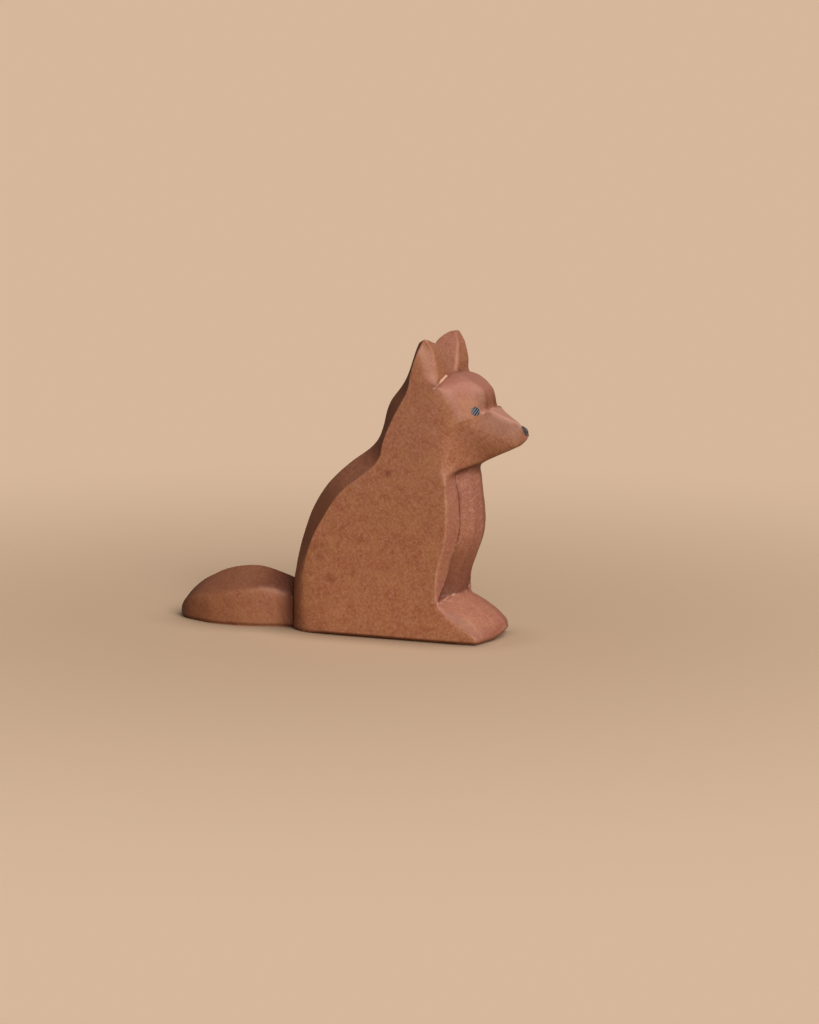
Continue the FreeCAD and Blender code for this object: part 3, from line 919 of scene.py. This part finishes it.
def strokes_group():
    """Fine parallel strokes of a knife or a coarse paper."""
    group, given, out = new_group(
        "knife strokes",
        [("Place", VECTOR, None), ("Turn", VECTOR, None), ("Length", FLOAT, 120.0),
         ("Width", FLOAT, 1900.0)],
        [("Stroke", FLOAT)])
    sizes = node(group, "ShaderNodeCombineXYZ", X=given["Width"], Y=given["Width"],
                 Z=given["Length"]).outputs["Vector"]
    turned = rotated(group, given["Place"], given["Turn"])
    stretched = vector_maths(group, "MULTIPLY", turned, sizes)
    stroke = noise_of(group, stretched, scale=1.0, detail=2.0, roughness=0.6)
    feed(group, out["Stroke"], stroke)
    return group


def spot_group():
    """A soft-edged spot at a place, ragged at its rim."""
    group, given, out = new_group(
        "spot",
        [("Place", VECTOR, None), ("Centre", VECTOR, None), ("Reach", VECTOR, (1, 1, 1)),
         ("Ragged", FLOAT, 0.5)],
        [("Mask", FLOAT)])
    apart = vector_maths(group, "SUBTRACT", given["Place"], given["Centre"])
    size = vector_maths(group, "LENGTH", vector_maths(group, "DIVIDE", apart, given["Reach"]))
    rough = noise_of(group, given["Place"], scale=900.0, detail=3.0, roughness=0.6)
    pushed = maths(group, "MULTIPLY_ADD", maths(group, "SUBTRACT", rough, 0.5), given["Ragged"],
                   size)
    feed(group, out["Mask"], maths(group, "SUBTRACT", 1.0, pushed, clamp=True))
    return group


def wear_group():
    """Where handling has rubbed the edges, broken up by the wood's own unevenness."""
    group, given, out = new_group(
        "edge wear",
        [("Place", VECTOR, None), ("Edge", FLOAT, 0.0), ("Amount", FLOAT, 1.0),
         ("Grit", FLOAT, 900.0)],
        [("Worn", FLOAT)])
    grit = noise_of(group, given["Place"], scale=given["Grit"], detail=3.0, roughness=0.65)
    broken = maths(group, "MULTIPLY", given["Edge"], maths(group, "MULTIPLY", grit, 2.0))
    strong = ramp(group, broken, 0.25, 1.0)
    feed(group, out["Worn"], maths(group, "MULTIPLY", strong, given["Amount"], clamp=True))
    return group


# Materials
def new_material(name):
    material = bpy.data.materials.new(name)
    material.use_nodes = True
    tree = material.node_tree
    shader = tree.nodes["Principled BSDF"]
    place = tree.nodes.new("ShaderNodeTexCoord").outputs["Object"]
    return material, tree, shader, place


def stain_of(tree, groups, place, tints, patches, flecks):
    """The mottled stain in the tints of one finish."""
    tints = {label: colour(*tint) for label, tint in tints.items()}
    return place_group(tree, groups["stain"], Place=place, Patches=patches, Flecks=flecks, **tints)


def stained_wood(name, groups, spots, deep):
    """Close-grained wood under a thin red-brown stain and wax, with painted sheen, shade and
    highlights laid over it.
    """
    material, tree, shader, place = new_material(name)
    stained = stain_of(tree, groups, place, RED_BROWN, patches=1.0, flecks=0.8)
    worn = place_group(tree, groups["wear"], Place=place, Edge=written(tree, "edge"), Amount=0.2)
    stroke = place_group(tree, groups["strokes"], Place=place, Turn=(0.0, math.radians(35), 0.0),
                         Length=90.0, Width=1500.0)["Stroke"]
    stroke_shown = maths(tree, "MULTIPLY_ADD", written(tree, "stroked"), 0.1, 0.08)
    hatch = place_group(tree, groups["strokes"], Place=place, Turn=(math.radians(64), 0.0, 0.0),
                        Length=60.0, Width=1700.0)["Stroke"]
    hatch_shown = maths(tree, "MULTIPLY", written(tree, "hatched"), 0.34)

    # What lies on the stain, from the first layer to the last, painted sheen, shade and highlights
    # among them
    layers = [(deep, DEEP_STAIN)]
    for centre, reach, strength in spots:
        spot = place_group(tree, groups["spot"], Place=place, Ragged=SPOT_RAGGED,
                           Centre=[value * MM for value in centre],
                           Reach=[value * MM for value in reach])
        layers.append((maths(tree, "MULTIPLY", spot["Mask"], strength), SPOT_STAIN))
    layers += [
        # Painted sheen on faces turned up, the upper flank, the snout's top and the forehead
        (maths(tree, "MULTIPLY", written(tree, "turned"), 0.45), PAINTED_SHEEN),
        # Painted shade on low faces turned forward
        (maths(tree, "MULTIPLY", written(tree, "forward"), 0.35), FORWARD_SHADE),
        (worn["Worn"], WORN_EDGE),
        # Painted shade in the surface's hollows, where stain also pooled
        (maths(tree, "MULTIPLY", written(tree, "hollow"), 0.5), HOLLOW_SHADE),
        # Painted shade, and stain pooled in the cuts
        (written(tree, "gathered"), SHADE_AND_POOLED_STAIN),
        (maths(tree, "MULTIPLY", ramp(tree, stroke, 0.5, 0.72), stroke_shown), KNIFE_STROKE),
        (maths(tree, "MULTIPLY", ramp(tree, hatch, 0.5, 0.68), hatch_shown), HATCHING),
        # Unstained wood at the nicks and rubbed edges, and painted highlights
        (written(tree, "bare"), BARE_WOOD_AND_HIGHLIGHT)]
    painted = stained["Colour"]
    for share, tint in layers:
        painted = mix_colours(tree, share, painted, colour(*tint))

    wax = node(tree, "ShaderNodeMapRange", Value=stained["Fleck"], To_Min=0.56, To_Max=0.72)
    pores = noise_of(tree, place, scale=1300.0, detail=4.0, roughness=0.6)
    grain = bump(tree, pores, strength=0.35, depth=0.12 * MM)
    settle(tree, shader, Base_Color=painted, Roughness=wax.outputs["Result"], IOR=1.5,
           Normal=bump(tree, stroke, strength=0.30, depth=0.10 * MM, before=grain))
    return material


def eye_paint():
    """Blue-grey paint over black, brushed on in slanting strokes."""
    material, tree, shader, place = new_material("eye_paint")
    slanted = rotated(tree, place, (0.0, math.radians(-24), 0.0))
    stroke = node(tree, "ShaderNodeTexWave", Vector=slanted, Scale=600.0, Distortion=1.6,
                  Detail=2.0, Detail_Scale=1.5).outputs["Fac"]
    painted = mix_colours(tree, ramp(tree, stroke, 0.38, 0.8), colour(*EYE_BLACK),
                          colour(*EYE_GREY))
    settle(tree, shader, Base_Color=painted, Roughness=0.42, Specular_IOR_Level=0.2,
           Normal=bump(tree, stroke, strength=0.4, depth=0.06 * MM))
    return material


def nose_paint(groups):
    """Thin black-brown paint that lets the wood show."""
    material, tree, shader, place = new_material("nose_paint")
    stained = stain_of(tree, groups, place, BLACK_BROWN, patches=0.6, flecks=0.5)
    settle(tree, shader, Base_Color=stained["Colour"], Roughness=0.5,
           Normal=bump(tree, stained["Fleck"], strength=0.3, depth=0.08 * MM))
    return material


def peg_wood(groups):
    """Bare dowel, its grain along the peg."""
    material, tree, shader, place = new_material("peg_wood")
    stained = stain_of(tree, groups, place, BARE_PEG, patches=0.6, flecks=0.4)
    grain = place_group(tree, groups["strokes"], Place=place,
                        Turn=(0.0, math.radians(90), 0.0))["Stroke"]
    painted = mix_colours(tree, maths(tree, "MULTIPLY", grain, 0.4), stained["Colour"],
                          colour(*PEG_GRAIN))
    settle(tree, shader, Base_Color=painted, Roughness=0.6,
           Normal=bump(tree, grain, strength=0.4, depth=0.1 * MM))
    return material


# Floor, which fades into the plain background, and the light
def make_floor():
    bpy.ops.object.select_all(action="DESELECT")
    bpy.ops.mesh.primitive_plane_add(size=FLOOR_WIDTH, location=(0, 0, 0))
    floor = bpy.context.active_object
    floor.name = "floor"
    material, tree, shader, place = new_material("floor")
    open_air = node(tree, "ShaderNodeAmbientOcclusion", samples=8, Distance=CONTACT_REACH)
    across = node(tree, "ShaderNodeSeparateXYZ", Vector=place).outputs["X"]
    open_share = maths(tree, "MAXIMUM", ramp(tree, open_air.outputs["AO"], 0.2, 1.0),
                       maths(tree, "MULTIPLY", ramp(tree, across, *LIT_SIDE), 0.85))
    settle(tree, shader, Roughness=0.9, Specular_IOR_Level=0.1,
           Base_Color=mix_colours(tree, open_share, colour(*FLOOR_SHADOW), colour(*FLOOR_PALE)))
    away = vector_maths(tree, "LENGTH", place)
    faded = mix_shaders(tree, ramp(tree, away, *FLOOR_FADE, kind="SMOOTHSTEP"),
                        shader.outputs["BSDF"],
                        node(tree, "ShaderNodeBsdfTransparent").outputs["BSDF"])
    feed(tree, tree.nodes["Material Output"].inputs["Surface"], faded)
    floor.data.materials.append(material)


def window_light():
    """Soft light from the front right, as from a large window."""
    data = bpy.data.lights.new("window", "AREA")
    data.shape = "DISK"
    data.size = WINDOW_WIDTH
    data.energy = WINDOW_POWER
    data.color = WINDOW_TINT
    lamp = bpy.data.objects.new("window", data)
    lamp.location = WINDOW_PLACE
    aim = Vector(WINDOW_AIM) - Vector(WINDOW_PLACE)
    lamp.rotation_euler = aim.to_track_quat("-Z", "Y").to_euler()
    bpy.context.scene.collection.objects.link(lamp)


def room_light():
    """A weak warm light all round. The camera and glossy faces see the plain background."""
    world = bpy.data.worlds.new("room")
    world.use_nodes = True
    tree = world.node_tree
    room = settle(tree, tree.nodes["Background"], Color=ROOM_TINT, Strength=ROOM_STRENGTH)
    ray = node(tree, "ShaderNodeLightPath").outputs
    strength = maths(tree, "MULTIPLY_ADD", ray["Is Camera Ray"], 1 - GLOSS_STRENGTH,
                     GLOSS_STRENGTH)
    seen = node(tree, "ShaderNodeBackground", Color=colour(*BACKGROUND), Strength=strength)
    direct = maths(tree, "MAXIMUM", ray["Is Camera Ray"], ray["Is Glossy Ray"])
    both = mix_shaders(tree, direct, room.outputs["Background"], seen.outputs["Background"])
    feed(tree, tree.nodes["World Output"].inputs["Surface"], both)
    bpy.context.scene.world = world
    bpy.context.scene.view_settings.view_transform = "Standard"


def finish_piece(piece, material, body, slot, *nodes):
    """A piece gets its material and its body, and takes the place of its nodes. The slot is not
    used.
    """
    piece.data.materials.clear()
    piece.data.materials.append(material)
    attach(piece, body)
    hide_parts(*nodes)


set_camera()
groups = {"stain": stain_group(), "strokes": strokes_group(), "spot": spot_group(),
          "wear": wear_group()}
body = make_body()
nose = make_nose(body)
tail = make_tail()
left_eye, right_eye = [make_eye(name, body, middle) for name, middle in EYES.items()]
paint_body(body)
paint_tail(tail)
for carved in (body, tail):
    mark_edges(carved)
    only(carved)
    bpy.ops.object.shade_smooth()
finish_piece(body, stained_wood("body_wood", groups, SPOTS, 0.0), "root", "body_wood", "body")
finish_piece(tail, stained_wood("tail_wood", groups, [], TAIL_DEEPER), "root", "tail_wood",
             "tail")
paint = eye_paint()
finish_piece(left_eye, paint, "root", "eye_paint", "left_eye")
finish_piece(right_eye, paint, "root", "eye_paint", "right_eye")
finish_piece(nose, nose_paint(groups), "root", "nose_paint", "nose_tip")
dowel = peg_wood(groups)
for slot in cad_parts["tail_peg"].material_slots:
    slot.material = dowel
make_floor()
window_light()
room_light()
